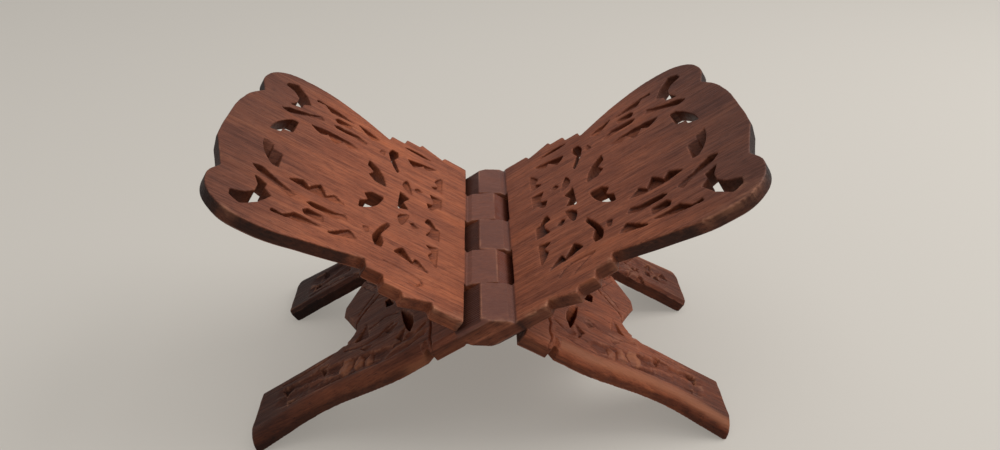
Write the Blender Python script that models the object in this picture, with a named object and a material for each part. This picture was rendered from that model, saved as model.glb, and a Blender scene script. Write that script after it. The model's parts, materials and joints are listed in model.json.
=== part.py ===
"""Folding book stand: two carved leaves sawn from one plank and linked by a wooden knuckle hinge."""

import math

import bmesh
import bpy
from mathutils import Matrix, Vector

# The plank, in metres: its width at the hinge, one leaf's thickness and the saw cut between the leaves.
PLANK_WIDTH = 0.197
LEAF_THICKNESS = 0.011
SAW_KERF = 0.001

# A leaf runs from the hinge axis up to its panel's top edge and down to the ends of its legs.
PANEL_LENGTH = 0.1935
LEG_LENGTH = 0.184
LEAF_TILT = math.radians(32.5)
RIM_CHAMFER = 0.003
FOOT_FLAT = 0.0015

# The hinge: knuckles side by side across the plank, each with a sloped facet and a small groove at its foot.
KNUCKLE_COUNT = 5
SIDE_CLEARANCE = 0.0004
STOP_CLEARANCE = 0.0003
CREST_SETBACK = 0.001
FACET_FOOT_HEIGHT = 0.002
QUIRK_WIDTH = 0.0042
QUIRK_DEPTH = 0.001

# The outer face falls away towards the outsides of the legs: how deep at the rim, and how wide as a share of the
# distance from the centre line. The panel's end is undercut by this much at its outer face.
SHOULDER_DEPTH = 0.006
LEG_SHOULDER = 0.11
END_UNDERCUT = 0.005

# The pattern was laid on the plank a little towards the far side of the open stand: the lobes and the carving.
LOBE_SHIFT = 0.0035
CARVING_SHIFT = 0.0028

# The carving. A panel's chips are blind pockets: the floor starts this deep on the hinge side and falls away from
# the hinge by this slope, to this depth at most.
CHIP_START = 0.0008
CHIP_SLOPE = 0.4
CHIP_DEPTH = 0.0055

# The other cuts go through the board and narrow to this share on their way: an eye leans away from the hinge,
# a slant leans away from the centre line, and an opening goes straight through.
EYE_TAPER = 0.78
EYE_LEAN = 0.0035
SLANT_TAPER = 0.65
SLANT_LEAN = 0.009
OPENING_TAPER = 0.96

# Curves are drawn with this many steps a stretch.
CHIP_STEPS = 4
OUTLINE_STEPS = 6

# Cutters reach past the wood by this much.
OVERCUT = 0.002

# The stop: an open leaf's window edge comes to rest on the outer face of the other leaf's legs.
HALF_KERF = SAW_KERF / 2
OUTER_FACE = HALF_KERF + LEAF_THICKNESS
OPEN_ANGLE = math.pi - 2 * LEAF_TILT
WINDOW_HALF = (OUTER_FACE * (1 - math.cos(OPEN_ANGLE)) + STOP_CLEARANCE) / math.sin(OPEN_ANGLE)
HALF_WIDTH = PLANK_WIDTH / 2
KNUCKLE_PITCH = PLANK_WIDTH / KNUCKLE_COUNT
AXIS_HEIGHT = (LEG_LENGTH * math.sin(LEAF_TILT) - HALF_KERF * math.cos(LEAF_TILT)
               - FOOT_FLAT * math.sin(LEAF_TILT) * math.cos(LEAF_TILT))

# Outlines and carving are drawn in percent: along from the hinge edge to the far end of the panel or the legs,
# and across from the centre line to the plank's edge. A point is a corner or lies on a smooth stretch.
# The legs are drawn past their ends, which are then sawn square.
CORNER = "VECTOR"
SMOOTH = "AUTO"

PANEL_EDGE = [
    (11.3, 100, CORNER), (12.5, 95.2, CORNER), (23, 102.5, CORNER), (24.2, 97.5, CORNER), (30.5, 97.5, CORNER),
    (31.3, 90.3, CORNER), (37.6, 90.3, CORNER), (38.4, 83.2, CORNER), (58, 96.6, SMOOTH), (76.8, 103.2, SMOOTH),
    (89.7, 97.5, SMOOTH), (95.8, 77, SMOOTH), (93.3, 58.4, CORNER), (97.3, 41, SMOOTH), (99.3, 28, CORNER),
    (100, 10, SMOOTH),
]
LEG_EDGE = [
    (12.1, 100, CORNER), (13.7, 94, CORNER), (16, 98, CORNER), (30, 98.5, SMOOTH), (45, 95, SMOOTH),
    (60, 91, SMOOTH), (73, 90.5, SMOOTH), (86, 93.5, SMOOTH), (106, 99, CORNER), (106, 46.5, CORNER),
    (70, 44.7, SMOOTH), (58.5, 43, SMOOTH), (54.3, 39, SMOOTH), (52.2, 31.5, CORNER), (62, 3.6, CORNER),
]

# How far the panels reach from the hinge's middle to the far side and to the near side.
SMOOTH_REACH = max(across for _, across, handle in PANEL_EDGE if handle == SMOOTH) / 100 * HALF_WIDTH
CORNER_REACH = max(across for _, across, handle in PANEL_EDGE if handle == CORNER) / 100 * HALF_WIDTH
FAR_REACH = max(SMOOTH_REACH + LOBE_SHIFT, CORNER_REACH)
NEAR_REACH = max(SMOOTH_REACH - LOBE_SHIFT, CORNER_REACH)

# Chips of one half of a panel, anticlockwise: (along, across, bulge of the side that starts there).
# The bulge is the side's rise over its length, outwards when positive.
PANEL_CHIPS = {
    "hook": [(11.2, 29.2, 0), (17.1, 28.4, 0), (15.8, 22.8, -0.12), (15.2, 15.7, 0), (18.1, 13.4, 0),
             (16.9, 6.6, 0), (15.5, 6.6, 0), (13.2, 13.4, 0), (11.2, 14.5, 0)],
    "bud": [(24.6, 13.7, 0.12), (29.2, 20.3, 0.1), (27.6, 31.5, 0.04), (25.6, 22.5, 0.03)],
    "bud_spur": [(20.1, 25.2, 0), (22.7, 20.9, 0), (24.1, 23.6, 0), (22.4, 28.4, 0)],
    "twin_leaf": [(11.4, 36.8, 0), (16.9, 39.8, 0.05), (13.6, 44.7, 0), (15.3, 50.3, 0.05),
                  (11.6, 61.5, 0)],
    "low_crown": [(14.2, 71.5, 0.04), (20, 61, 0), (21.2, 66, 0), (25.5, 55.5, 0.05), (28.9, 64.5, 0),
                  (21.5, 68.8, -0.03)],
    "stem_spur": [(39.3, 50.5, 0), (41.8, 52.5, 0), (40.6, 59, 0), (39.2, 57.5, 0)],
    "neck_leaf": [(42.5, 71, 0.04), (46, 64.3, 0), (54, 78.3, 0.03)],
    "crown": [(49.4, 40.6, 0), (54.3, 34.3, 0), (57, 39.6, 0), (60.1, 29.8, 0.03), (63.8, 38.7, 0),
              (66.4, 33.9, 0.04), (71.6, 41, 0.09)],
    "shoulder_leaf": [(47.3, 55, 0), (49, 50.8, 0), (52, 53.4, 0), (61.5, 54, 0), (63.2, 57.4, 0),
                      (60.5, 59.6, 0), (52, 59.8, 0.02)],
    "shoulder_block": [(55.8, 63.5, 0), (61.8, 62.8, 0), (63.4, 67, 0), (62.2, 70.8, 0), (55.4, 70.3, 0)],
    "edge_leaf": [(54.6, 75, 0), (65.4, 73.3, 0), (68.9, 80.8, 0), (72.9, 79.7, 0), (73.1, 83.3, 0.06)],
    "swoop": [(66.9, 55.3, 0), (74, 49.2, 0), (80.9, 41.6, 0.1), (84.6, 44.2, 0), (81.8, 49.2, 0),
              (75.8, 53.6, 0), (71, 57.6, 0), (68.8, 60.4, 0)],
}
# Chips that only the far half of a panel has; the near half has a scribed line there.
FAR_CHIPS = {
    "long_leaf": [(17.2, 80.2, 0.06), (31.7, 80.7, 0.13)],
}
# Slants and straight openings of one half of a panel, drawn in the same way.
PANEL_SLANTS = {
    "stem": [(32.3, 32, 0), (34.3, 38.6, 0.03), (37.7, 56.9, 0.05), (36.3, 66, 0), (33.5, 66, 0),
             (32.9, 58.4, 0), (34.6, 50.8, 0), (31.5, 35.5, 0)],
    "top_leaf": [(75.8, 34, 0), (76.3, 15, 0), (80.6, 13.3, 0), (80.8, 8, 0), (85.2, 5.2, 0.09),
                 (78.6, 33.6, 0)],
}
PANEL_OPENINGS = {
    "field_leaf": [(36, 7.1, 0), (40.9, 7.6, 0), (44, 13.7, 0), (42, 19.8, 0), (45.1, 24.9, 0),
                   (44.9, 33.5, 0.04), (40, 26.4, 0.03), (37.5, 18.3, 0.03)],
    "volute": [(82.3, 54.1, -0.33), (87.1, 80.5, 0), (86.6, 86, 0.04), (82.5, 90, 0), (77.6, 80.5, 0),
               (74.3, 68.5, 0), (77.4, 63.5, 0), (77.2, 57.9, 0)],
}
# The one opening that crosses a panel's centre line.
PANEL_KNOT = [(25.4, 7.6, 0), (27.9, 0, 0), (25.4, -7.6, 0), (29.9, -12, 0), (29.9, 12, 0)]

# Eyes of one half of the leg board, drawn on its outer face, with along growing towards the feet.
LEG_EYES = {
    "board_leaf": [(20.9, 73.1, 0.04), (27.1, 39.6, 0.18)],
    "board_eye": [(31.2, 27.9, 0), (34.6, 16.8, 0), (36.8, 18.3, 0), (35.6, 27.4, 0)],
}

WOOD_RIGHT = (0.19, 0.070, 0.046, 1)
WOOD_LEFT = (0.21, 0.078, 0.050, 1)
WOOD_ROUGHNESS = 0.5


def clear_scene():
    """Start from an empty file."""
    for existing in list(bpy.data.objects):
        bpy.data.objects.remove(existing, do_unlink=True)


def new_collection(name):
    """Make a collection in the scene."""
    collection = bpy.data.collections.new(name)
    bpy.context.scene.collection.children.link(collection)
    return collection


def wood_material(name, colour):
    """Oiled red-brown hardwood."""
    material = bpy.data.materials.new(name)
    material.use_nodes = True
    shader = material.node_tree.nodes["Principled BSDF"]
    shader.inputs["Base Color"].default_value = colour
    shader.inputs["Roughness"].default_value = WOOD_ROUGHNESS
    shader.inputs["Metallic"].default_value = 0.0
    return material


def on_panel(along, across):
    """A drawn panel point in the leaf's own plane, in metres."""
    reach = PANEL_LENGTH - WINDOW_HALF
    return Vector((WINDOW_HALF + reach * along / 100, HALF_WIDTH * across / 100))


def on_legs(along, across):
    """A drawn leg point in the leaf's own plane, in metres."""
    reach = LEG_LENGTH - WINDOW_HALF
    return Vector((-WINDOW_HALF - reach * along / 100, HALF_WIDTH * across / 100))


def extruded_curve(name, kind, points, half_depth):
    """Extrude a closed flat outline of (x, y, handle) points both ways along Z and return it as a welded mesh."""
    curve = bpy.data.curves.new(name, "CURVE")
    curve.dimensions = "2D"
    curve.fill_mode = "BOTH"
    curve.extrude = half_depth
    curve.resolution_u = OUTLINE_STEPS
    spline = curve.splines.new(kind)
    if kind == "BEZIER":
        spline.bezier_points.add(len(points) - 1)
        for knot, (x, y, handle) in zip(spline.bezier_points, points):
            knot.co = (x, y, 0)
            knot.handle_left_type = handle
            knot.handle_right_type = handle
    else:
        spline.points.add(len(points) - 1)
        for knot, (x, y, _) in zip(spline.points, points):
            knot.co = (x, y, 0, 1)
    spline.use_cyclic_u = True
    holder = bpy.data.objects.new(name, curve)
    bpy.context.scene.collection.objects.link(holder)
    evaluated = holder.evaluated_get(bpy.context.evaluated_depsgraph_get())
    mesh = bpy.data.meshes.new_from_object(evaluated)
    bpy.data.objects.remove(holder, do_unlink=True)
    bpy.data.curves.remove(curve)
    shape = bmesh.new()
    shape.from_mesh(mesh)
    bmesh.ops.remove_doubles(shape, verts=shape.verts, dist=1e-6)
    inside_caps = [edge for edge in shape.edges if all(abs(face.normal.z) > 0.999 for face in edge.link_faces)]
    bmesh.ops.dissolve_edges(shape, edges=inside_caps)
    bmesh.ops.recalc_face_normals(shape, faces=shape.faces)
    shape.to_mesh(mesh)
    shape.free()
    return mesh


def panel_side(side, shift):
    """One side of the panel's outline, with its smooth stretches moved across by the shift."""
    points = []
    for along, across, handle in PANEL_EDGE:
        place = on_panel(along, across)
        moved = shift if handle == SMOOTH else 0
        points.append((place.x, side * place.y + moved, handle))
    return points


def plank_outline(name, shift):
    """The sawn outline of a leaf as a prism through the plank, with its rims chamfered."""
    legs = [(*on_legs(along, across), handle) for along, across, handle in reversed(LEG_EDGE)]
    other_legs = [(x, -y, handle) for x, y, handle in reversed(legs)]
    panel = panel_side(1, shift) + panel_side(-1, shift)[::-1]
    mesh = extruded_curve(name, "BEZIER", legs + panel + other_legs, OUTER_FACE)
    shape = bmesh.new()
    shape.from_mesh(mesh)
    rims = []
    for edge in shape.edges:
        levels = [abs(corner.co.z) > OUTER_FACE - HALF_KERF for corner in edge.verts]
        if all(levels) and edge.verts[0].co.z * edge.verts[1].co.z > 0:
            rims.append(edge)
    bmesh.ops.bevel(shape, geom=rims, offset=RIM_CHAMFER, offset_type="OFFSET", segments=1, profile=0.5,
                    affect="EDGES", clamp_overlap=False, material=-1)
    shape.to_mesh(mesh)
    shape.free()
    return mesh


def leaf_section(name):
    """The leaf seen from its side: panel below the saw cut, legs above it and the knuckle crossing over."""
    upper = [
        (-LEG_LENGTH, OUTER_FACE),
        (CREST_SETBACK, OUTER_FACE),
        (WINDOW_HALF - QUIRK_WIDTH, FACET_FOOT_HEIGHT),
        (WINDOW_HALF - QUIRK_WIDTH / 2, -HALF_KERF - QUIRK_DEPTH),
        (WINDOW_HALF, -HALF_KERF),
        (PANEL_LENGTH + OVERCUT, -HALF_KERF),
    ]
    lower = [
        (PANEL_LENGTH + OVERCUT, -OUTER_FACE),
        (-CREST_SETBACK, -OUTER_FACE),
        (QUIRK_WIDTH - WINDOW_HALF, -FACET_FOOT_HEIGHT),
        (QUIRK_WIDTH / 2 - WINDOW_HALF, HALF_KERF + QUIRK_DEPTH),
        (-WINDOW_HALF, HALF_KERF),
        (-LEG_LENGTH, HALF_KERF),
    ]
    points = [(x, y, CORNER) for x, y in upper + lower]
    mesh = extruded_curve(name, "POLY", points, FAR_REACH + OVERCUT)
    mesh.transform(Matrix.Rotation(math.radians(90), 4, "X"))
    return mesh


def end_wedge(name):
    """A block beyond the panel's end that undercuts it."""
    slope = END_UNDERCUT / LEAF_THICKNESS
    levels = (OVERCUT, -OUTER_FACE - OVERCUT)
    profile = [(PANEL_LENGTH + slope * (level + HALF_KERF), level) for level in levels]
    profile += [(PANEL_LENGTH + PLANK_WIDTH, level) for level in reversed(levels)]
    shape = bmesh.new()
    side = shape.faces.new([shape.verts.new((x, -PLANK_WIDTH, z)) for x, z in profile])
    reach = bmesh.ops.extrude_face_region(shape, geom=[side])
    for corner in reach["geom"]:
        if isinstance(corner, bmesh.types.BMVert):
            corner.co.y = PLANK_WIDTH
    bmesh.ops.recalc_face_normals(shape, faces=shape.faces)
    mesh = bpy.data.meshes.new(name)
    shape.to_mesh(mesh)
    shape.free()
    return mesh


def leg_shoulder(name):
    """A block that takes in the whole plank but draws in above, so that the legs' outer rims fall away."""
    outside = LEG_EDGE[2:LEG_EDGE.index(max(LEG_EDGE)) + 1]
    start = on_legs(*outside[0][:2])
    half = [(*on_legs(along, across), handle) for along, across, handle in reversed(outside)]
    half += [(start.x, PLANK_WIDTH, CORNER), (PANEL_LENGTH + PLANK_WIDTH, PLANK_WIDTH, CORNER)]
    other_half = [(x, -y, handle) for x, y, handle in reversed(half)]
    mesh = extruded_curve(name, "BEZIER", half + other_half, OUTER_FACE + OVERCUT)
    for corner in mesh.vertices:
        corner.co.y *= 1 - LEG_SHOULDER * ((corner.co.z - OUTER_FACE) / SHOULDER_DEPTH + 1)
    return mesh


def chip_outline(corners, place):
    """Follow a chip's bulging sides and return the points of its outline."""
    knots = [(place(along, across), bulge) for along, across, bulge in corners]
    turn = sum(a.cross(b) for (a, _), (b, _) in zip(knots, knots[1:] + knots[:1]))
    outline = []
    for (start, bulge), (end, _) in zip(knots, knots[1:] + knots[:1]):
        side = end - start
        outwards = Vector((side.y, -side.x))
        if len(knots) > 2 and turn < 0:
            outwards.negate()
        steps = CHIP_STEPS if bulge else 1
        for step in range(steps):
            share = step / steps
            outline.append(start + side * share + outwards * bulge * 4 * share * (1 - share))
    return outline


def add_chip(shape, outline, taper, lean, shown_level, deep_level):
    """Add a cut through the board: its outline at the shown face, narrower and leaning further in."""
    centre = sum(outline, Vector((0, 0))) / len(outline)
    ring = [shape.verts.new((point.x, point.y, shown_level)) for point in outline]
    mouth = shape.faces.new(ring)
    deep = bmesh.ops.extrude_face_region(shape, geom=[mouth])
    for corner in deep["geom"]:
        if isinstance(corner, bmesh.types.BMVert):
            flat = centre + lean + (corner.co.xy - centre) * taper
            corner.co = (flat.x, flat.y, deep_level)


def add_pocket(shape, outline):
    """Add a blind chip: upright walls and a floor that slopes down away from the hinge."""
    first = min(point.x for point in outline)
    last = max(point.x for point in outline)
    deepest = min(CHIP_SLOPE * (last - first), CHIP_DEPTH)
    ring = [shape.verts.new((point.x, point.y, OVERCUT - HALF_KERF)) for point in outline]
    floor = bmesh.ops.extrude_face_region(shape, geom=[shape.faces.new(ring)])
    for corner in floor["geom"]:
        if isinstance(corner, bmesh.types.BMVert):
            corner.co.z = -HALF_KERF - CHIP_START - (deepest - CHIP_START) * (corner.co.x - first) / (last - first)


def mirrored(outline):
    """The same chip on the other side of the centre line."""
    return [Vector((point.x, -point.y)) for point in reversed(outline)]


def both_halves(drawings, place, taper, lean):
    """Drawn cuts on both sides of the centre line, each with how it narrows and leans."""
    cuts = []
    for corners in drawings.values():
        outline = chip_outline(corners, place)
        cuts.append((outline, taper, Vector(lean)))
        cuts.append((mirrored(outline), taper, Vector((lean[0], -lean[1]))))
    return cuts


def fretwork(name, shift):
    """All the cuts of one leaf's carving as one cutter, with the panel's carving moved across by the shift."""
    shape = bmesh.new()
    panel_levels = (OVERCUT - HALF_KERF, -OUTER_FACE - OVERCUT)
    leg_levels = (OUTER_FACE + OVERCUT, HALF_KERF - OVERCUT)
    pockets = [chip_outline(corners, on_panel) for corners in PANEL_CHIPS.values()]
    pockets += [mirrored(outline) for outline in pockets]
    far_chips = [chip_outline(corners, on_panel) for corners in FAR_CHIPS.values()]
    pockets += far_chips if shift > 0 else [mirrored(outline) for outline in far_chips]
    for outline in pockets:
        add_pocket(shape, [point + Vector((0, shift)) for point in outline])
    panel_cuts = both_halves(PANEL_SLANTS, on_panel, SLANT_TAPER, (0, SLANT_LEAN))
    panel_cuts += both_halves(PANEL_OPENINGS, on_panel, OPENING_TAPER, (0, 0))
    panel_cuts.append((chip_outline(PANEL_KNOT, on_panel), OPENING_TAPER, Vector((0, 0))))
    for outline, taper, lean in panel_cuts:
        moved = [point + Vector((0, shift)) for point in outline]
        add_chip(shape, moved, taper, lean, *panel_levels)
    for outline, taper, lean in both_halves(LEG_EYES, on_legs, EYE_TAPER, (-EYE_LEAN, 0)):
        add_chip(shape, outline, taper, lean, *leg_levels)
    bmesh.ops.recalc_face_normals(shape, faces=shape.faces)
    mesh = bpy.data.meshes.new(name)
    shape.to_mesh(mesh)
    shape.free()
    return mesh


def knuckle_windows(name, owned):
    """Boxes that clear the bands of the hinge where the other leaf's knuckles pass through."""
    shape = bmesh.new()
    for band in range(KNUCKLE_COUNT):
        if band in owned:
            continue
        low = -HALF_WIDTH + band * KNUCKLE_PITCH - SIDE_CLEARANCE / 2
        high = low + KNUCKLE_PITCH + SIDE_CLEARANCE
        if band == 0:
            low -= OVERCUT
        if band == KNUCKLE_COUNT - 1:
            high += OVERCUT
        box = bmesh.ops.create_cube(shape, size=1.0)
        bmesh.ops.scale(shape, vec=(2 * WINDOW_HALF, high - low, 2 * (OUTER_FACE + OVERCUT)), verts=box["verts"])
        bmesh.ops.translate(shape, vec=(0, (low + high) / 2, 0), verts=box["verts"])
    mesh = bpy.data.meshes.new(name)
    shape.to_mesh(mesh)
    shape.free()
    return mesh


def floor_block(name):
    """A block under the table top, which trims a small flat on each foot."""
    shape = bmesh.new()
    size = 2 * (LEG_LENGTH + PLANK_WIDTH)
    bmesh.ops.create_cube(shape, size=size)
    bmesh.ops.translate(shape, vec=(0, 0, -size / 2), verts=shape.verts)
    mesh = bpy.data.meshes.new(name)
    shape.to_mesh(mesh)
    shape.free()
    return mesh


def add_cutter(mesh, leaf, operation, collection):
    """Cut a leaf with a mesh drawn in the leaf's own frame."""
    cutter = bpy.data.objects.new(mesh.name, mesh)
    collection.objects.link(cutter)
    cutter.display_type = "WIRE"
    cutter.hide_render = True
    cutter.matrix_world = leaf.matrix_world
    cut_leaf(leaf, cutter, operation)


def cut_leaf(leaf, cutter, operation):
    """Add an exact Boolean to a leaf."""
    cut = leaf.modifiers.new(cutter.name, "BOOLEAN")
    cut.operation = operation
    cut.solver = "EXACT"
    cut.object = cutter


def build_leaf(name, facing, owned, colour, collection, cutters, floor):
    """Saw, chisel and carve one leaf, then tilt it about the hinge axis."""
    far_side = math.cos(facing)
    leaf = bpy.data.objects.new(name, leaf_section(name))
    collection.objects.link(leaf)
    leaf.data.materials.append(wood_material(name + "_wood", colour))
    leaf.location = (0, (NEAR_REACH - FAR_REACH) / 2, AXIS_HEIGHT)
    leaf.rotation_euler = (0, -LEAF_TILT, facing)
    bpy.context.view_layer.update()
    add_cutter(plank_outline(name + "_outline", LOBE_SHIFT * far_side), leaf, "INTERSECT", cutters)
    add_cutter(leg_shoulder(name + "_leg_shoulder"), leaf, "INTERSECT", cutters)
    add_cutter(end_wedge(name + "_end_wedge"), leaf, "DIFFERENCE", cutters)
    add_cutter(knuckle_windows(name + "_windows", owned), leaf, "DIFFERENCE", cutters)
    add_cutter(fretwork(name + "_fretwork", CARVING_SHIFT * far_side), leaf, "DIFFERENCE", cutters)
    cut_leaf(leaf, floor, "DIFFERENCE")


clear_scene()
stand_collection = new_collection("folding_book_stand")
cutter_collection = new_collection("cutters")

floor_cutter = bpy.data.objects.new("foot_trim", floor_block("foot_trim"))
cutter_collection.objects.link(floor_cutter)
floor_cutter.display_type = "WIRE"
floor_cutter.hide_render = True

end_knuckles = set(range(0, KNUCKLE_COUNT, 2))
inner_knuckles = set(range(1, KNUCKLE_COUNT, 2))
build_leaf("right_leaf", 0, end_knuckles, WOOD_RIGHT, stand_collection, cutter_collection, floor_cutter)
build_leaf("left_leaf", math.pi, inner_knuckles, WOOD_LEFT, stand_collection, cutter_collection, floor_cutter)
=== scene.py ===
import json
import math

import bmesh
import bpy
import numpy as np
from mathutils import Euler, Matrix, Vector


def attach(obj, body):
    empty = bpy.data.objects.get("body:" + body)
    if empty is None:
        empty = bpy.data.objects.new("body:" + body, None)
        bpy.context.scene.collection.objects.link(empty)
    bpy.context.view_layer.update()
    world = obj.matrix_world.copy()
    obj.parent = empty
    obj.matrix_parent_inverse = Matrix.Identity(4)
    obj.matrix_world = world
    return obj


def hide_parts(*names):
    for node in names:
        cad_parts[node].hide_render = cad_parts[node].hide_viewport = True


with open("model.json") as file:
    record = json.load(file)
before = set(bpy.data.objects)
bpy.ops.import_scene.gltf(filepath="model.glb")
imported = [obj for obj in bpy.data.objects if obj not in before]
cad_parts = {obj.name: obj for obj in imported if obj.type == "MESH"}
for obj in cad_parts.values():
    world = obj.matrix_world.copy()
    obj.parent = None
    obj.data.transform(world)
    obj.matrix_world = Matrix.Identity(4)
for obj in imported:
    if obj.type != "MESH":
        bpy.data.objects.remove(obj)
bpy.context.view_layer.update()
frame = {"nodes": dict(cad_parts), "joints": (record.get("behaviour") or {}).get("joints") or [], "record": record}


# The right leaf: half of a red-brown hardwood plank, sawn to its outline, slit from the left leaf along the
# hinge and cut with a knife and small chisels. It has three of the five knuckles and the left pair of legs.
# Its faces were planed and oiled, and its edges are rounded and bruised by years of handling.
hinge = frame["joints"][0]
hinge_height = hinge["pos_m"][2]
folded_angle = hinge["range_deg"][1]
leaf_tilt = math.radians((180 - folded_angle) / 2)
feet = [mount["pos_m"] for mount in frame["record"]["mounts"]]
plank_middle = sum(foot[1] for foot in feet) / len(feet)

millimetre = 0.001
grain_step = 0.0005
leaf_triangles = 195000

# Places on a leaf are in millimetres. Along the board, the panel lies above 0 and the legs lie below it.
# The level is 0 at the hinge's axis, with the panel below it and the legs above.
half_kerf = 0.5
outer_face = 11.5
board_thick = outer_face - half_kerf
panel_start = 20
leg_start = -20
leg_side_start = -40
roll_start = -45
shoulder_reach = 11


def leaf_place(facing):
    """Where a leaf's own frame lies: along the board, across it and out of its reading face."""
    turn = Euler((0, -leaf_tilt, facing)).to_matrix().to_4x4()
    return Matrix.Translation((0, plank_middle, hinge_height)) @ turn


def sawn_blank(node_name, place):
    """A merged copy of the leaf's solid in its own frame, with its skin cut into small even faces."""
    shape = bmesh.new()
    shape.from_mesh(frame["nodes"][node_name].data)
    bmesh.ops.remove_doubles(shape, verts=shape.verts, dist=1e-6)
    bmesh.ops.transform(shape, matrix=place.inverted(), verts=shape.verts)
    mesh = bpy.data.meshes.new(node_name + "_blank")
    shape.to_mesh(mesh)
    shape.free()
    blank = bpy.data.objects.new(node_name + "_blank", mesh)
    bpy.context.scene.collection.objects.link(blank)
    even = blank.modifiers.new("even_skin", "REMESH")
    even.mode = "VOXEL"
    even.voxel_size = grain_step
    skin = bpy.data.meshes.new_from_object(blank.evaluated_get(bpy.context.evaluated_depsgraph_get()))
    bpy.data.objects.remove(blank, do_unlink=True)
    bpy.data.meshes.remove(mesh)
    return skin


def points_of(mesh):
    """The mesh's corners as an array."""
    points = np.empty(len(mesh.vertices) * 3, np.float32)
    mesh.vertices.foreach_get("co", points)
    return points.reshape(-1, 3).astype(np.float64)


def set_points(mesh, points):
    """Put the corners back and return their new normals."""
    mesh.vertices.foreach_set("co", points.astype(np.float32).ravel())
    mesh.update()
    normals = np.empty(len(mesh.vertices) * 3, np.float32)
    mesh.vertex_normals.foreach_get("vector", normals)
    return normals.reshape(-1, 3).astype(np.float64)


def edges_of(mesh):
    """The mesh's edges as pairs of corners."""
    pairs = np.empty(len(mesh.edges) * 2, np.int32)
    mesh.edges.foreach_get("vertices", pairs)
    return pairs.reshape(-1, 2)


def neighbour_mean(values, pairs):
    """The mean of each corner's neighbours."""
    count = len(values)
    columns = values.reshape(count, -1)
    means = np.empty_like(columns)
    tally = np.maximum(np.bincount(pairs.ravel(), minlength=count), 1)
    for column in range(columns.shape[1]):
        total = np.bincount(pairs[:, 0], columns[pairs[:, 1], column], minlength=count)
        total += np.bincount(pairs[:, 1], columns[pairs[:, 0], column], minlength=count)
        means[:, column] = total / tally
    return means.reshape(values.shape)


def soften(points, pairs, share, rounds):
    """Wear a skin down in place: each round moves a corner part of the way to its neighbours' mean."""
    busy = share > 0
    close = pairs[busy[pairs].any(axis=1)]
    for _ in range(rounds):
        points += (neighbour_mean(points, close) - points) * share[:, None]


def smooth_step(values, low, high):
    """A soft ramp from 0 to 1."""
    share = np.clip((values - low) / (high - low), 0, 1)
    return share * share * (3 - 2 * share)


def ripple(places, period, seed):
    """A smooth uneven field between about -1 and 1, the same on every run."""
    waves = 8
    chance = np.random.default_rng(seed)
    field = np.zeros(len(places))
    for _ in range(waves):
        direction = chance.normal(size=places.shape[1])
        direction *= chance.uniform(0.6, 1.7) * 2 * math.pi / period / np.linalg.norm(direction)
        field += np.sin(places @ direction + chance.uniform(0, 2 * math.pi))
    return field / (waves / 2)


def line_distance(places, path):
    """How far each place on the board lies from a drawn line."""
    nearest = np.full(len(places), np.inf)
    for start, end in zip(np.array(path[:-1], float), np.array(path[1:], float)):
        step = end - start
        share = np.clip((places - start) @ step / (step @ step), 0, 1)
        nearest = np.minimum(nearest, np.hypot(*(places - start - share[:, None] * step).T))
    return nearest


def knife_cut(places, path, width, deep):
    """The depth of a V-shaped cut along a drawn line."""
    return deep * np.clip(1 - line_distance(places, path) / (width / 2), 0, 1)


def chip_cut(places, tip, left, right, deep):
    """The depth of a three-sided chip that starts at its tip and is deepest along its back wall."""
    tip, left, right = (np.array(corner, float) for corner in (tip, left, right))
    sides = np.linalg.inv(np.column_stack((left - tip, right - tip)))
    first, second = ((places - tip) @ sides.T).T
    inside = (first >= 0) & (second >= 0) & (first + second <= 1)
    return np.where(inside, deep * (first + second), 0)


def away_from(places, centre, reach):
    """How far each place lies from a centre, squared and in shares of the reach."""
    return (((places - np.array(centre)) / np.array(reach)) ** 2).sum(axis=1)


def scoop_cut(places, centre, reach, deep):
    """The depth of a shallow round scoop."""
    return deep * np.clip(1 - away_from(places, centre, reach), 0, 1)


# The legs' pattern in millimetres: from the hinge towards the foot, and from the centre line outwards.
# Each leg has a sunk band between two borders and a rounded roll outside it.
# Knife cuts are (line, width, depth) and chips are (tip, corner, corner, depth).
# Scoops are (middle, reach, depth) and beads are (middle, reach, height).
leg_outside = [(45, 96.5), (68, 97.0), (93, 93.6), (118, 89.6), (139, 89.1), (161, 92.1), (194, 97.5)]
band_inside = [
    (66, 75), (75, 72), (88, 68), (100, 65), (110, 62), (122, 60), (131, 57), (140, 59), (165, 56),
]
band_outside = [(66, 80), (75, 83), (95, 82), (110, 80), (125, 79), (150, 77), (165, 76)]
band_depth = 2.1
deepest_cut = 4.2
leg_knife_cuts = [
    ([(85, 3), (101, 21), (105, 29)], 2.2, 1.2),
    ([(91, 1), (104, 17)], 1.6, 0.7),
    ([(37.5, 66), (36.5, 100)], 2.0, 1.4),
    ([(60, 8), (78, 12), (92, 8)], 1.8, 0.6),
    ([(70, 50), (82, 57), (96, 57), (110, 52)], 3.0, 1.0),
    ([(108, 41), (126, 50), (149, 53), (164, 53)], 3.0, 0.8),
    ([(66, 42), (78, 38), (90, 42)], 1.8, 0.6),
    ([(43, 79), (57, 83), (72, 83.5), (93, 80), (113, 76.5), (130, 75)], 7.0, 1.5),
    ([(42, 70), (52, 76), (66, 76)], 3.0, 1.0),
]
leg_chips = [
    ((94, 34), (101, 49), (90, 50), 2.6),
    ((58, 62), (65, 69), (60, 76), 2.6),
    ((122, 56), (131, 57), (127, 64), 2.4),
    ((152, 57), (163, 58), (158, 66), 2.4),
    ((146, 71), (157, 71), (153, 78), 2.0),
    ((120, 40), (112, 38), (108, 47), 1.2),
    ((84, 62), (96, 60), (90, 65), 1.6),
    ((64, 52), (76, 55), (70, 60), 1.8),
]
leg_scoops = [((53, 75), (5, 4), 1.3), ((74, 60), (7, 4), 0.6), ((118, 64), (6, 4), 0.8)]
leg_ridge = [(164, 66), (150, 64), (131, 67), (114, 73), (97, 79), (84, 82)]
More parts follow.
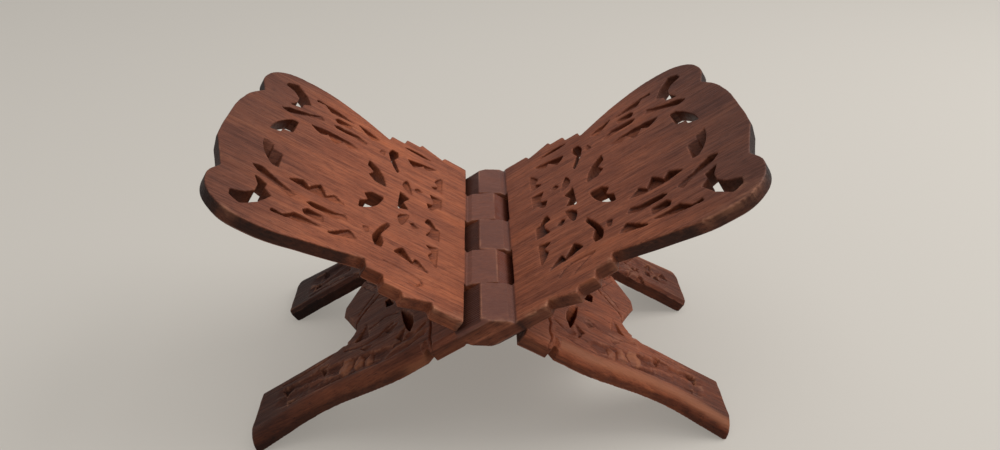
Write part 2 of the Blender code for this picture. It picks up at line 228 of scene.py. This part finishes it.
ridge_width = 7.2
ridge_height = 1.5
leg_beads = [
    ((106.5, 69.5), (6.4, 7.5), 1.8), ((95.5, 73), (4.6, 6.4), 1.7), ((87, 75.5), (3.9, 5.6), 1.5),
]


def bead_rise(places):
    """How far the row of small beads rises out of the sunk band."""
    rise = np.zeros(len(places))
    for centre, reach, height in leg_beads:
        rise = np.maximum(rise, height * np.sqrt(np.clip(1 - away_from(places, centre, reach), 0, 1)))
    return rise


def leg_pattern(places, knife_cuts, chips):
    """The depth of the carving on the legs' outer face."""
    inside = places[:, 1] - np.interp(places[:, 0], *zip(*band_inside))
    outside = np.interp(places[:, 0], *zip(*band_outside)) - places[:, 1]
    ends = smooth_step(places[:, 0], 63, 74) * smooth_step(-places[:, 0], -168, -158)
    gouged = band_depth + 0.3 * ripple(places, 7.0, 11)
    band = gouged * smooth_step(inside, -0.6, 2.6) * smooth_step(outside, -0.5, 3.5) * ends
    ridge = knife_cut(places, leg_ridge, ridge_width, ridge_height)
    depth = np.zeros(len(places))
    for path, width, deep in knife_cuts:
        depth = np.maximum(depth, knife_cut(places, path, width, deep))
    for tip, left, right, deep in chips:
        depth = np.maximum(depth, chip_cut(places, tip, left, right, deep))
    for centre, reach, deep in leg_scoops:
        depth = np.maximum(depth, scoop_cut(places, centre, reach, deep))
    band = np.clip(band - np.maximum(ridge, bead_rise(places)), 0, None)
    return np.minimum(band + depth, deepest_cut)


class Skin:
    """A leaf's skin while it is carved, with the places that its corners had on the sawn board."""

    def __init__(self, mesh, far_side):
        """The left leaf lies turned about, so its far side is -1 and the right leaf's is 1."""
        self.mesh = mesh
        self.far_side = far_side
        self.turned = far_side < 0
        self.pairs = edges_of(mesh)
        self.points = points_of(mesh)
        self.sawn = self.points.copy()
        self.along, self.across, self.level = self.sawn.T / millimetre
        self.far_across = self.across * far_side
        self.far_half = smooth_step(self.far_across, -12, 12)
        self.legs = (self.along < leg_start) & (self.level > 2)
        self.knuckle = smooth_step(-np.abs(self.along), -19.0, -17.8)
        self.from_outside = np.interp(-self.along, *zip(*leg_outside)) - np.abs(self.across)
        self.normals = set_points(mesh, self.points)
        self.sawn_normals = self.normals.copy()

    def keep(self, name, values):
        """Keep one number for each corner of the mesh."""
        attribute = self.mesh.attributes.new(name, "FLOAT", "POINT")
        attribute.data.foreach_set("value", values.astype(np.float32))


def round_legs(skin):
    """Turn the flat shoulder along the legs' outer rim into a rounded roll."""
    inwards = np.clip(skin.from_outside, 0.3, shoulder_reach)
    shoulder = 5.5 + 6 * inwards / shoulder_reach
    roll = 3.5 + 8 * np.sqrt(1 - (1 - inwards / 12) ** 2)
    rounded = (skin.along < roll_start) * (skin.level > 4.5) * smooth_step(skin.normals[:, 2], 0.3, 0.6)
    rise = np.clip(roll - shoulder, 0, 2) * (skin.from_outside < shoulder_reach) * rounded
    skin.points[:, 2] += rise * millimetre


def deepen_chips(skin, chip_dirt):
    """Sink the floors of the panel's chips a little, most where the chips get the most painted shade."""
    # The share sinks the chips' floors and sets how much painted shade the chips get.
    near_dirt, far_dirt = chip_dirt
    dirt = near_dirt + (far_dirt - near_dirt) * skin.far_half
    skin.dirt = dirt * (1 - 0.4 * smooth_step(skin.along, 135, 150))
    below_face = np.clip(-half_kerf - skin.level, 0, board_thick) * (skin.along > 19)
    skin.points[:, 2] -= 0.45 * skin.dirt * below_face * (1 - below_face / board_thick) * millimetre


def lean_eyes(skin):
    """Lean the walls of the eyes in the leg boards outwards."""
    pull = np.interp(np.abs(skin.across), (15, 39, 72), (0, 14, 0))
    pull *= smooth_step(-np.abs(skin.along + 58), -18, -7)
    pull *= np.clip((outer_face - skin.level) / board_thick, 0, 1) * (skin.level > 0)
    skin.points[:, 1] += np.sign(skin.across) * pull * millimetre


def soften_edges(skin):
    """Take the sharpness off all the sawn edges, and smooth the legs' rolls."""
    roll = smooth_step(-skin.along, 42, 48) * smooth_step(-skin.from_outside, -14, -9)
    roll *= smooth_step(skin.level, 2.0, 4.5)
    soften(skin.points, skin.pairs, np.full(len(skin.points), 0.4), 1)
    soften(skin.points, skin.pairs, roll * 0.6, 45)
    skin.normals = set_points(skin.mesh, skin.points)


def carve_legs(skin, far_leg_cuts, far_leg_chips):
    """Cut the pattern into the legs' outer face by an unsteady hand, with more cuts on the far leg."""
    legs = skin.legs
    places = np.column_stack((-skin.along, np.abs(skin.across)))[legs]
    shake = np.column_stack((ripple(skin.sawn[legs], 0.012, 3), ripple(skin.sawn[legs], 0.010, 4)))
    skin.leg_places = places + 0.5 * shake
    plain_depth = leg_pattern(skin.leg_places, leg_knife_cuts, leg_chips)
    far_depth = leg_pattern(skin.leg_places, leg_knife_cuts + far_leg_cuts, leg_chips + far_leg_chips)
    skin.depth = np.zeros(len(skin.points))
    skin.depth[legs] = np.where(skin.far_across[legs] > 0, far_depth, plain_depth)
    skin.depth[legs] *= smooth_step(skin.normals[legs, 2], 0.25, 0.5)
    skin.points[:, 2] -= skin.depth * millimetre


def scribe_panel(skin, scribed_lines):
    """Cut thin drawn lines into the reading face."""
    line_width = 2.3
    line_depth = 1.4
    face = (skin.along > panel_start) & (skin.level > -2) & (skin.normals[:, 2] > 0.7)
    places = np.column_stack((skin.along, skin.far_across))[face]
    depth = np.zeros(len(places))
    for path in scribed_lines:
        depth = np.maximum(depth, knife_cut(places, path, line_width, line_depth))
    skin.points[face, 2] -= depth * millimetre


def mark_tools(skin):
    """Leave chisel ridges on the knuckles' sloping facets and an uneven surface on the rest."""
    upside = np.sign(skin.level)
    skin.chisel = 0.5 + 0.5 * np.sin(skin.across * 3.3 + 1.2 * ripple(skin.sawn, 0.012, 5))
    skin.ridged = skin.knuckle * smooth_step(np.abs(skin.level), 9.5, 11)
    skin.ridged *= smooth_step(-skin.along * upside, -0.6, 0.6)
    skin.points[:, 2] -= upside * skin.ridged * skin.chisel * 0.4 * millimetre
    skin.points += skin.normals * ripple(skin.sawn, 0.024, 6)[:, None] * 0.08 * millimetre
    leg_sides = smooth_step(-skin.along, 40, 50) * smooth_step(-np.abs(skin.normals[:, 2]), -0.8, -0.4)
    skin.points += skin.normals * (leg_sides * ripple(skin.sawn, 0.017, 16))[:, None] * 0.4 * millimetre
    skin.normals = set_points(skin.mesh, skin.points)


def wear_edges(skin, scuffs):
    """Find the skin's outer and inner corners, and dent the outer ones, most where they were scuffed."""
    bend = ((neighbour_mean(skin.points, skin.pairs) - skin.points) * skin.normals).sum(axis=1) / grain_step
    for _ in range(2):
        bend = 0.5 * bend + 0.5 * neighbour_mean(bend, skin.pairs)
    skin.bend = bend
    skin.rim = smooth_step(-bend, 0.05, 0.20)
    skin.wide_rim = skin.rim
    for _ in range(6):
        skin.wide_rim = neighbour_mean(skin.wide_rim, skin.pairs)
    skin.scuffed = np.zeros(len(skin.points))
    for scuff_along, scuff_across, reach in scuffs:
        away = np.hypot(skin.along - scuff_along, skin.far_across - scuff_across)
        skin.scuffed = np.maximum(skin.scuffed, smooth_step(-away, -reach, -0.3 * reach))
    skin.patches = smooth_step(ripple(skin.sawn, 0.013, 8) + 0.5 * ripple(skin.sawn, 0.004, 9), 0.15, 0.85)
    nicks = 0.2 + 0.35 * ripple(skin.sawn, 0.012, 10) + 0.2 * ripple(skin.sawn, 0.0045, 17)
    dents = skin.rim * (skin.patches * 0.25 + skin.scuffed * nicks)
    skin.points -= skin.normals * np.clip(dents, 0, 0.8)[:, None] * millimetre
    soften(skin.points, skin.pairs, 0.4 * skin.rim * (1 - skin.knuckle), 1)
    set_points(skin.mesh, skin.points)


def keep_sides(skin):
    """Keep which sides are walls of the carving, outer edges of the board or outer sides of the lobes, all
    darkened partly with painted shade.
    """
    along = skin.along
    lobe_middle_along = 100
    lobe_middle_across = 3
    from_axis = np.abs(skin.level)
    inset = np.minimum(from_axis - half_kerf, outer_face - from_axis)
    steep = smooth_step(-np.abs(skin.sawn_normals[:, 2]), -0.75, -0.45)
    worn_steep = smooth_step(-np.abs(skin.normals[:, 2]), -0.75, -0.25)
    skin.side = smooth_step(inset, 0.1, 1.2) * np.where(along < leg_side_start, worn_steep, steep)
    lobe_rim = np.minimum(76 + 0.3 * (along - 85), 92)
    away_along = skin.normals[:, 0] * (along - lobe_middle_along)
    away_across = skin.normals[:, 1] * (skin.across - lobe_middle_across * skin.far_side)
    outward = away_along + away_across > 0
    on_rim = (np.abs(skin.far_across - lobe_middle_across) > lobe_rim) | (along > 174)
    lobe_edge = (along > 84) & outward & on_rim
    step_edge = (along > leg_start) & (along <= 86) & (np.abs(skin.across) > 82)
    leg_edge = (along <= leg_start) & ((skin.from_outside < 8) | (along < -100))
    # The board's outer sides are darker: partly oiled end grain, partly painted shade, and less on the left leaf's
    # lit legs.
    edge = skin.side * (lobe_edge | step_edge | leg_edge)
    bright_leg = (along < leg_side_start) & skin.turned
    # Chip walls on the panel get more painted shade where the chips do.
    wall_dirt = np.where(along > panel_start, 0.6 + 0.4 * skin.dirt, 1)
    skin.keep("wall", (skin.side - edge) * (1 - skin.knuckle) * wall_dirt)
    skin.keep("edge", edge * (1 - 0.4 * skin.scuffed) * np.where(bright_leg, 0.85, 1))
    skin.keep("lobe_side_stain_and_shade", skin.side * lobe_edge * (1 - 0.9 * skin.scuffed))


def keep_depths(skin):
    """Keep the painted shade on the chips' floors, in the hollows, in the gaps by the hinge and on the far legs.
    """
    along, level = skin.along, skin.level
    floor = (along > panel_start) * (level > -9) * smooth_step(-level, 0.9, 1.4)
    floor *= smooth_step(skin.sawn_normals[:, 2], 0.3, 0.6)
    # The chips' floors get painted shade, more in the small chips by the hinge.
    by_hinge = smooth_step(-along, -84, -72) * (0.45 if skin.turned else 1 - 0.6 * skin.far_half)
    skin.keep("floor", floor * np.maximum(skin.dirt, by_hinge))
    # Painted shade in the legs' carving, darker in the deeper cuts.
    sunk = 0.55 * smooth_step(skin.depth, 0.5, 2.4) + 0.45 * smooth_step(skin.depth, 2.5, 3.8)
    # Painted shade in the inner corners.
    inner_corner = smooth_step(skin.bend, 0.03, 0.18)
    inner_corner *= np.where(along > panel_start, 0.4 + 0.6 * skin.dirt, 0.6)
    # Painted shadow on the far legs.
    far_leg = smooth_step(skin.far_across, 20, 45) * (along < -60)
    far_shade = 0.75 * smooth_step(along, -168, -128) if skin.turned else 0.95
    skin.keep("hollow_and_far_leg_shade", np.maximum(np.maximum(inner_corner, sunk), far_shade * far_leg))
    # Painted shadow along the windows' edges, in the slit by the left leaf's knuckles and deep in the chips.
    window_edge = smooth_step(-np.abs(along - 18.6), -1.4, -0.7) * (level < -1)
    slit = skin.ridged * smooth_step(-along * np.sign(level), 4, 12) * skin.turned
    deep = skin.dirt * floor * smooth_step(-level, 1.5, 3.2) * by_hinge
    skin.keep("gap_and_floor_shadow", np.clip(np.maximum(slit, deep) + 0.8 * window_edge, 0, 1))


def keep_wear(skin):
    """Keep where the wood is rubbed pale, where it is freshly cut or given a painted highlight along the legs'
    rolls, and the knuckles' facets.
    """
    along, level = skin.along, skin.level
    carved_face = (along < -42) & (level > 6) & (skin.normals[:, 2] > 0.3)
    crests = (skin.knuckle * (1 - skin.ridged) + 0.8 * carved_face) * smooth_step(-skin.bend, 0.015, 0.06)
    scrapes = smooth_step(ripple(skin.sawn, 0.022, 12) + 0.7 * ripple(skin.sawn, 0.0025, 13), -0.5, 0.6)
    bruised = np.clip(2.2 * skin.wide_rim, 0, 1) * skin.scuffed * (0.15 + 0.85 * scrapes)
    skin.keep("worn", np.maximum(bruised, 0.3 * skin.rim * skin.patches + 0.4 * crests * scrapes))
    gouge_marks = smooth_step(ripple(skin.sawn, 0.006, 14) + 0.5 * ripple(skin.sawn, 0.003, 15), -0.4, 0.9)
    beads = np.zeros(len(skin.points))
    beads[skin.legs] = bead_rise(skin.leg_places) * smooth_step(skin.normals[skin.legs, 2], 0.25, 0.5)
    fresh_cut_and_highlight = beads * (0.3 + 0.6 * gouge_marks) * np.clip((along + 60) / -40, 0.3, 1.2)
    # A painted highlight along the crest of the left leaf's leg rolls, partly rubbed pale wood.
    roll_wear_and_highlight = smooth_step(skin.from_outside, 1, 5) * smooth_step(-skin.from_outside, -12, -6)
    roll_wear_and_highlight *= (along < roll_start) & (level > 6)
    fresh_cut_and_highlight += 0.8 * roll_wear_and_highlight * skin.turned + 0.5 * skin.scuffed * skin.side * (along < leg_side_start)
    raw_block = (along < -21) & (along > -36) & (np.abs(skin.across) > 78) & (level > 3) & skin.turned
    skin.keep("raw_and_roll_highlight", np.clip(fresh_cut_and_highlight + 0.3 * raw_block * gouge_marks, 0, 1))
    skin.keep("facet", skin.knuckle * smooth_step(np.abs(skin.sawn_normals[:, 2]), 0.1, 0.3))
    skin.keep("ridged", skin.ridged * (0.72 + 0.28 * skin.chisel))


def carve_leaf(mesh, far_side, scribed_lines, scuffs, far_leg_cuts, far_leg_chips, chip_dirt):
    """Round the sawn edges, carve the legs, mark the tools and the wear, and keep the numbers for the wear, the
    raw wood and the painted shade.
    """
    skin = Skin(mesh, far_side)
    round_legs(skin)
    deepen_chips(skin, chip_dirt)
    lean_eyes(skin)
    soften_edges(skin)
    carve_legs(skin, far_leg_cuts, far_leg_chips)
    scribe_panel(skin, scribed_lines)
    mark_tools(skin)
    wear_edges(skin, scuffs)
    # Less painted shade in the chips towards the panel's end.
    skin.dirt *= 1 - 0.35 * smooth_step(skin.along, 135, 150)
    keep_sides(skin)
    keep_depths(skin)
    keep_wear(skin)


def finish_leaf(mesh, name, place):
    """Thin the skin where it is flat, set it in its place and make the leaf's object."""
    mesh.transform(place)
    leaf = bpy.data.objects.new(name, mesh)
    bpy.context.scene.collection.objects.link(leaf)
    thin = leaf.modifiers.new("thin", "DECIMATE")
    faces = sum(len(face.vertices) - 2 for face in mesh.polygons)
    thin.ratio = min(1.0, leaf_triangles / faces)
    thinned = bpy.data.meshes.new_from_object(leaf.evaluated_get(bpy.context.evaluated_depsgraph_get()))
    leaf.modifiers.clear()
    leaf.data = thinned
    thinned.shade_smooth()
    thinned.materials.clear()
    return leaf


def link(tree, source, target):
    """Join two node sockets."""
    tree.links.new(source, target)


def wood_grain_group():
    """Long streaks, slow changes of tone, fine dark pores and small uneven patches along the board."""
    group = bpy.data.node_groups.new("wood_grain", "ShaderNodeTree")
    group.interface.new_socket("Board", in_out="INPUT", socket_type="NodeSocketVector")
    nodes = group.nodes
    start = nodes.new("NodeGroupInput")
    end = nodes.new("NodeGroupOutput")
    for name, stretch, detail, warp in (
        ("Streak", (30, 850, 640), 6, 0.6),
        ("Tone", (9, 60, 50), 5, 0.8),
        ("Pores", (190, 2400, 2400), 2, 0.0),
        ("Patches", (75, 250, 250), 5, 0.4),
    ):
        group.interface.new_socket(name, in_out="OUTPUT", socket_type="NodeSocketFloat")
        scale = nodes.new("ShaderNodeVectorMath")
        scale.operation = "MULTIPLY"
        scale.inputs[1].default_value = stretch
        link(group, start.outputs["Board"], scale.inputs[0])
        pattern = nodes.new("ShaderNodeTexNoise")
        pattern.inputs["Scale"].default_value = 1.0
        pattern.inputs["Detail"].default_value = detail
        pattern.inputs["Distortion"].default_value = warp
        link(group, scale.outputs[0], pattern.inputs["Vector"])
        link(group, pattern.outputs["Fac"], end.inputs[name])
    return group


wood_grain = wood_grain_group()


def ramp(tree, source, stops):
    """A ramp of the given places and colours, or of grey values."""
    node = tree.nodes.new("ShaderNodeValToRGB")
    band = node.color_ramp
    while len(band.elements) < len(stops):
        band.elements.new(0.5)
    for element, (place, colour) in zip(band.elements, stops):
        element.position = place
        element.color = (*colour, 1) if isinstance(colour, tuple) else (colour, colour, colour, 1)
    link(tree, source, node.inputs[0])
    return node.outputs[0]


def mix(tree, kind, share, first, second):
    """Blend two colours, where each may be a socket or a plain colour."""
    node = tree.nodes.new("ShaderNodeMix")
    node.data_type = "RGBA"
    node.blend_type = kind
    for socket, value in ((node.inputs[0], share), (node.inputs[6], first), (node.inputs[7], second)):
        if isinstance(value, bpy.types.NodeSocket):
            link(tree, value, socket)
        elif isinstance(value, tuple):
            socket.default_value = (*value, 1)
        else:
            socket.default_value = value
    return node.outputs[2]


def times(tree, first, second):
    """Multiply two values."""
    node = tree.nodes.new("ShaderNodeMath")
    node.operation = "MULTIPLY"
    link(tree, first, node.inputs[0])
    if isinstance(second, bpy.types.NodeSocket):
        link(tree, second, node.inputs[1])
    else:
        node.inputs[1].default_value = second
    return node.outputs[0]


def kept(tree, name):
    """One of the numbers kept on the leaf."""
    node = tree.nodes.new("ShaderNodeAttribute")
    node.attribute_name = name
    return node.outputs["Fac"]


def share_along(tree, distance, near, far):
    """A soft share that grows along the board from one distance to another."""
    node = tree.nodes.new("ShaderNodeMapRange")
    node.interpolation_type = "SMOOTHSTEP"
    node.inputs["From Min"].default_value = near
    node.inputs["From Max"].default_value = far
    link(tree, distance, node.inputs["Value"])
    return node.outputs[0]


# Shades darken the wood where a kept number says so, and the wood colours cover it; most shades are painted shade,
# some only in part.
tone_stops = [(0.32, (0.70, 0.66, 0.68)), (0.50, (1, 1, 1)), (0.70, (1.2, 1.15, 1.02))]
mottle_stops = [(0.34, (0.86, 0.82, 0.80)), (0.50, (1, 1, 1)), (0.68, (1.12, 1.10, 1.08))]
pore_stops = [(0.32, (0.36, 0.30, 0.28)), (0.45, (1, 1, 1))]
# The panel's ends and the feet are darker: partly duller wood, partly painted shade.
panel_end_shade = (0.47, 0.54, 0.68)
foot_shade = (0.43, 0.37, 0.28)
# Chip floors and walls get painted shade; the board's outer sides and the lobes' sides are partly darker oiled
# wood, partly painted shade.
side_shades = [
    ("floor", (0.62, 0.53, 0.42)),
    ("wall", (0.52, 0.43, 0.34)),
    ("edge", (0.48, 0.40, 0.31)),
    ("lobe_side_stain_and_shade", (0.36, 0.34, 0.34)),
]
# Painted shade in inner corners, in the legs' carving and on the far legs.
hollow_shade = (0.38, 0.32, 0.28)
# Painted shadow in the gaps by the knuckles and deep in the chips.
gap_shade = (0.26, 0.22, 0.20)
# Freshly cut wood, also used for a painted highlight along the legs' rolls.
raw_wood = (0.35, 0.122, 0.052)
facet_wood = (0.125, 0.053, 0.041)
scraped_wood = (0.50, 0.225, 0.125)
facet_roughness = (0.36, 0.36, 0.36)


def leaf_wood(name, facing, streaks, leg_shade, ridge_shade):
    """Oiled red-brown hardwood with its grain along the leaf, pale on its edges, darker at its ends, on its legs
    and in its carving partly by painted shade, with a painted highlight along the legs' rolls.
    """
    material = bpy.data.materials.new(name)
    material.use_nodes = True
    tree = material.node_tree
    shader = tree.nodes["Principled BSDF"]
    shader.inputs["Specular IOR Level"].default_value = 0.22
    where = tree.nodes.new("ShaderNodeTexCoord")
    board = tree.nodes.new("ShaderNodeMapping")
    board.vector_type = "TEXTURE"
    board.inputs["Location"].default_value = (0, plank_middle, hinge_height)
    board.inputs["Rotation"].default_value = (0, -leaf_tilt, facing)
    link(tree, where.outputs["Object"], board.inputs["Vector"])
    grain = tree.nodes.new("ShaderNodeGroup")
    grain.node_tree = wood_grain
    link(tree, board.outputs[0], grain.inputs["Board"])
    apart = tree.nodes.new("ShaderNodeSeparateXYZ")
    link(tree, board.outputs[0], apart.inputs[0])
    board_along = apart.outputs["X"]
    streak = grain.outputs["Streak"]
    patchy = grain.outputs["Patches"]

    dark, middle, light = streaks
    colour = ramp(tree, streak, [(0.31, dark), (0.50, middle), (0.70, light)])
    colour = mix(tree, "MULTIPLY", 1.0, colour, ramp(tree, grain.outputs["Tone"], tone_stops))
    colour = mix(tree, "MULTIPLY", 1.0, colour, ramp(tree, patchy, mottle_stops))
    pores = ramp(tree, grain.outputs["Pores"], pore_stops)
    colour = mix(tree, "MULTIPLY", 0.8, colour, pores)
    # Darker towards the panel's end and the feet: partly duller wood, partly painted shade.
    by_panel_end = share_along(tree, board_along, 0.100, 0.185)
    colour = mix(tree, "MULTIPLY", by_panel_end, colour, panel_end_shade)
    # Darker on the legs, and much darker on the right leaf's legs as painted shadow.
    on_legs = share_along(tree, board_along, -0.030, -0.060)
    colour = mix(tree, "MULTIPLY", on_legs, colour, leg_shade)
    by_feet = share_along(tree, board_along, -0.120, -0.175)
    colour = mix(tree, "MULTIPLY", by_feet, colour, foot_shade)

    for place, shade in side_shades:
        colour = mix(tree, "MULTIPLY", kept(tree, place), colour, shade)
    colour = mix(tree, "MULTIPLY", times(tree, kept(tree, "hollow_and_far_leg_shade"), 0.85), colour, hollow_shade)
    colour = mix(tree, "MIX", times(tree, kept(tree, "raw_and_roll_highlight"), 0.8), colour, raw_wood)
    colour = mix(tree, "MIX", times(tree, kept(tree, "facet"), 0.72), colour, facet_wood)
    # Ridged knuckle facets are darker: partly grime, partly painted shade.
    colour = mix(tree, "MULTIPLY", kept(tree, "ridged"), colour, ridge_shade)
    colour = mix(tree, "MULTIPLY", kept(tree, "gap_and_floor_shadow"), colour, gap_shade)
    uneven = ramp(tree, patchy, [(0.36, 0.3), (0.55, 1.0)])
    scraped = times(tree, times(tree, kept(tree, "worn"), uneven), 0.85)
    colour = mix(tree, "MIX", scraped, colour, scraped_wood)
    link(tree, colour, shader.inputs["Base Color"])

    rough = ramp(tree, streak, [(0.3, 0.62), (0.7, 0.48)])
    smoother = mix(tree, "MIX", kept(tree, "facet"), rough, facet_roughness)
    link(tree, smoother, shader.inputs["Roughness"])
    patches = ramp(tree, patchy, [(0.40, 0.0), (0.60, 1.0)])
    height = mix(tree, "MULTIPLY", 0.6, mix(tree, "MIX", 0.35, streak, patches), pores)
    bump = tree.nodes.new("ShaderNodeBump")
    bump.inputs["Strength"].default_value = 0.4
    bump.inputs["Distance"].default_value = 0.0006
    link(tree, height, bump.inputs["Height"])
    link(tree, bump.outputs[0], shader.inputs["Normal"])
    return material


# Scuffs are (along, across, reach), and the chips' sinking and painted shade is a share for the near half and one
# for the far half.
right_facing = 0.0
# The right leaf's wood is darker than the left leaf's, though both are halves of one plank: painted shade, as its
# reading face turns from the side light.
right_streaks = ((0.166, 0.047, 0.022), (0.244, 0.072, 0.034), (0.306, 0.098, 0.046))
# The right leaf's legs are much darker: painted shadow of the left leaf above them.
right_leg_shade = (0.60, 0.55, 0.47)
# The right leaf's chisel-ridged facets are darkened: partly grime, partly painted shade.
right_ridge_shade = (0.34, 0.30, 0.28)
# The right leaf's chips get much painted shade on the near half and little on the far half.
right_chip_dirt = (0.9, 0.2)
right_scribed_lines = [
    [(75, -72), (61, -71), (53.5, -74), (50, -78.5)],
    [(75, -72), (67, -77), (60, -82)],
]
right_scuffs = [
    (172, -88, 16), (160, -97, 16), (142, -100, 10), (30, -97, 9), (66, -90, 7), (40, -98, 8), (59, -98, 8),
    (73, -92, 8), (86, -86, 8), (13, -98, 6), (2, -98, 5), (-52, -94, 14),
]
right_skin = sawn_blank("right_leaf", leaf_place(right_facing))
carve_leaf(right_skin, 1, right_scribed_lines, right_scuffs, [], [], right_chip_dirt)
right_leaf = finish_leaf(right_skin, "right_leaf_carved", leaf_place(right_facing))
right_leaf.data.materials.append(
    leaf_wood("right_leaf_wood", right_facing, right_streaks, right_leg_shade, right_ridge_shade))
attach(right_leaf, "right_leaf")
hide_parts("right_leaf")


# The left leaf: the other half of the same plank, with the two knuckles between the right leaf's three and
# the right pair of legs. It lies turned about the upright line through the hinge.
left_facing = math.pi
left_streaks = ((0.205, 0.056, 0.025), (0.302, 0.086, 0.038), (0.375, 0.118, 0.052))
left_leg_shade = (0.89, 0.80, 0.70)
# The left leaf's ridged facets are a little darker as painted shade.
left_ridge_shade = (0.85, 0.58, 0.46)
# The left leaf's chips get a little painted shade.
left_chip_dirt = (0.3, 0.3)
left_scribed_lines = [
    [(74, -75), (66, -74.6), (60, -75.6), (49.5, -76.8), (47.5, -80.5), (51, -85.3), (55.7, -85)],
]
left_scuffs = [(24, -98, 12), (40, -98, 9), (62, -95, 12), (166, -96, 8), (90, -84, 8)]
left_far_leg_cuts = [
    ([(111, 29), (125, 45), (139, 62)], 3.2, 1.7),
    ([(132, 21), (146, 28), (156, 33)], 2.6, 1.2),
    ([(118, 52), (130, 68), (138, 80)], 2.6, 1.2),
]
left_far_leg_chips = [
    ((143, 55), (154, 59), (149, 67), 2.8), ((158, 64), (169, 66), (166, 74), 2.4),
    ((133, 41), (143, 43), (138, 51), 2.6), ((126, 54), (137, 54), (133, 61), 2.4),
]
left_skin = sawn_blank("left_leaf", leaf_place(left_facing))
carve_leaf(
    left_skin, -1, left_scribed_lines, left_scuffs, left_far_leg_cuts, left_far_leg_chips, left_chip_dirt)
left_leaf = finish_leaf(left_skin, "left_leaf_carved", leaf_place(left_facing))
left_leaf.data.materials.append(
    leaf_wood("left_leaf_wood", left_facing, left_streaks, left_leg_shade, left_ridge_shade))
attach(left_leaf, "left_leaf")
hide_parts("left_leaf")


# The table top that the stand is on: a plain pale surface, wide enough to fill the view.
# The camera sees it with a little light of its own, which falls on nothing else.
table_half_width = 6
table_drop = 0.0003
table_colour = (0.62, 0.58, 0.52, 1)
table_shape = bmesh.new()
bmesh.ops.create_grid(table_shape, x_segments=1, y_segments=1, size=table_half_width)
bmesh.ops.translate(table_shape, vec=(0, 0, -table_drop), verts=table_shape.verts)
table_mesh = bpy.data.meshes.new("table_top")
table_shape.to_mesh(table_mesh)
table_shape.free()
table_top = bpy.data.objects.new("table_top", table_mesh)
bpy.context.scene.collection.objects.link(table_top)
table_material = bpy.data.materials.new("pale_table")
table_material.use_nodes = True
table_tree = table_material.node_tree
table_shader = table_tree.nodes["Principled BSDF"]
table_shader.inputs["Base Color"].default_value = table_colour
table_shader.inputs["Roughness"].default_value = 0.8
table_glow = table_tree.nodes.new("ShaderNodeEmission")
table_glow.inputs["Color"].default_value = table_colour
table_blend = table_tree.nodes.new("ShaderNodeMixShader")
table_rays = table_tree.nodes.new("ShaderNodeLightPath")
glow_share = times(table_tree, table_rays.outputs["Is Camera Ray"], 0.4)
link(table_tree, glow_share, table_blend.inputs[0])
link(table_tree, table_shader.outputs[0], table_blend.inputs[1])
link(table_tree, table_glow.outputs[0], table_blend.inputs[2])
link(table_tree, table_blend.outputs[0], table_tree.nodes["Material Output"].inputs["Surface"])
table_mesh.materials.append(table_material)


# The studio: a large soft light high on the right, a weaker one overhead, and a pale room.
lit_point = (0, 0, 0.1)


def soft_light(name, place, size, power):
    """A square soft light that faces the hinge."""
    lamp = bpy.data.lights.new(name, "AREA")
    lamp.size = size
    lamp.energy = power
    holder = bpy.data.objects.new(name, lamp)
    holder.location = place
    towards = Vector(lit_point) - Vector(place)
    holder.rotation_euler = towards.to_track_quat("-Z", "Y").to_euler()
    bpy.context.scene.collection.objects.link(holder)


soft_light("side_light", (1.35, 0.25, 1.25), 1.2, 18)
soft_light("top_light", (-0.1, 0.0, 1.9), 1.8, 11)
room = bpy.data.worlds.new("pale_room")
bpy.context.scene.world = room
room.use_nodes = True
room_light = room.node_tree.nodes["Background"]
room_light.inputs["Color"].default_value = (0.97, 0.98, 1.0, 1)
room_light.inputs["Strength"].default_value = 0.40


# The camera stands where the photograph was taken from, in front of the stand and above it.
photo_width = 1000
focal_pixels = 794.98
camera_place = (-0.00288, plank_middle - 0.47295, 0.40046)
yaw, pitch, roll = math.radians(1.397), math.radians(31.165), math.radians(-0.593)
level_forward = Vector((math.sin(yaw), math.cos(yaw), 0))
level_right = Vector((math.cos(yaw), -math.sin(yaw), 0))
upright = Vector((0, 0, 1))
forward = math.cos(pitch) * level_forward - math.sin(pitch) * upright
raised = math.sin(pitch) * level_forward + math.cos(pitch) * upright
view_right = math.cos(roll) * level_right + math.sin(roll) * raised
view_up = math.cos(roll) * raised - math.sin(roll) * level_right
camera_data = bpy.data.cameras.new("photo_camera")
camera_data.sensor_width = 36
camera_data.lens = focal_pixels / photo_width * camera_data.sensor_width
camera_data.clip_start = 0.01
camera = bpy.data.objects.new("photo_camera", camera_data)
camera_turn = Matrix((view_right, view_up, -forward)).transposed().to_4x4()
camera.matrix_world = Matrix.Translation(camera_place) @ camera_turn
bpy.context.scene.collection.objects.link(camera)
bpy.context.scene.camera = camera
bpy.context.scene.view_settings.view_transform = "Standard"
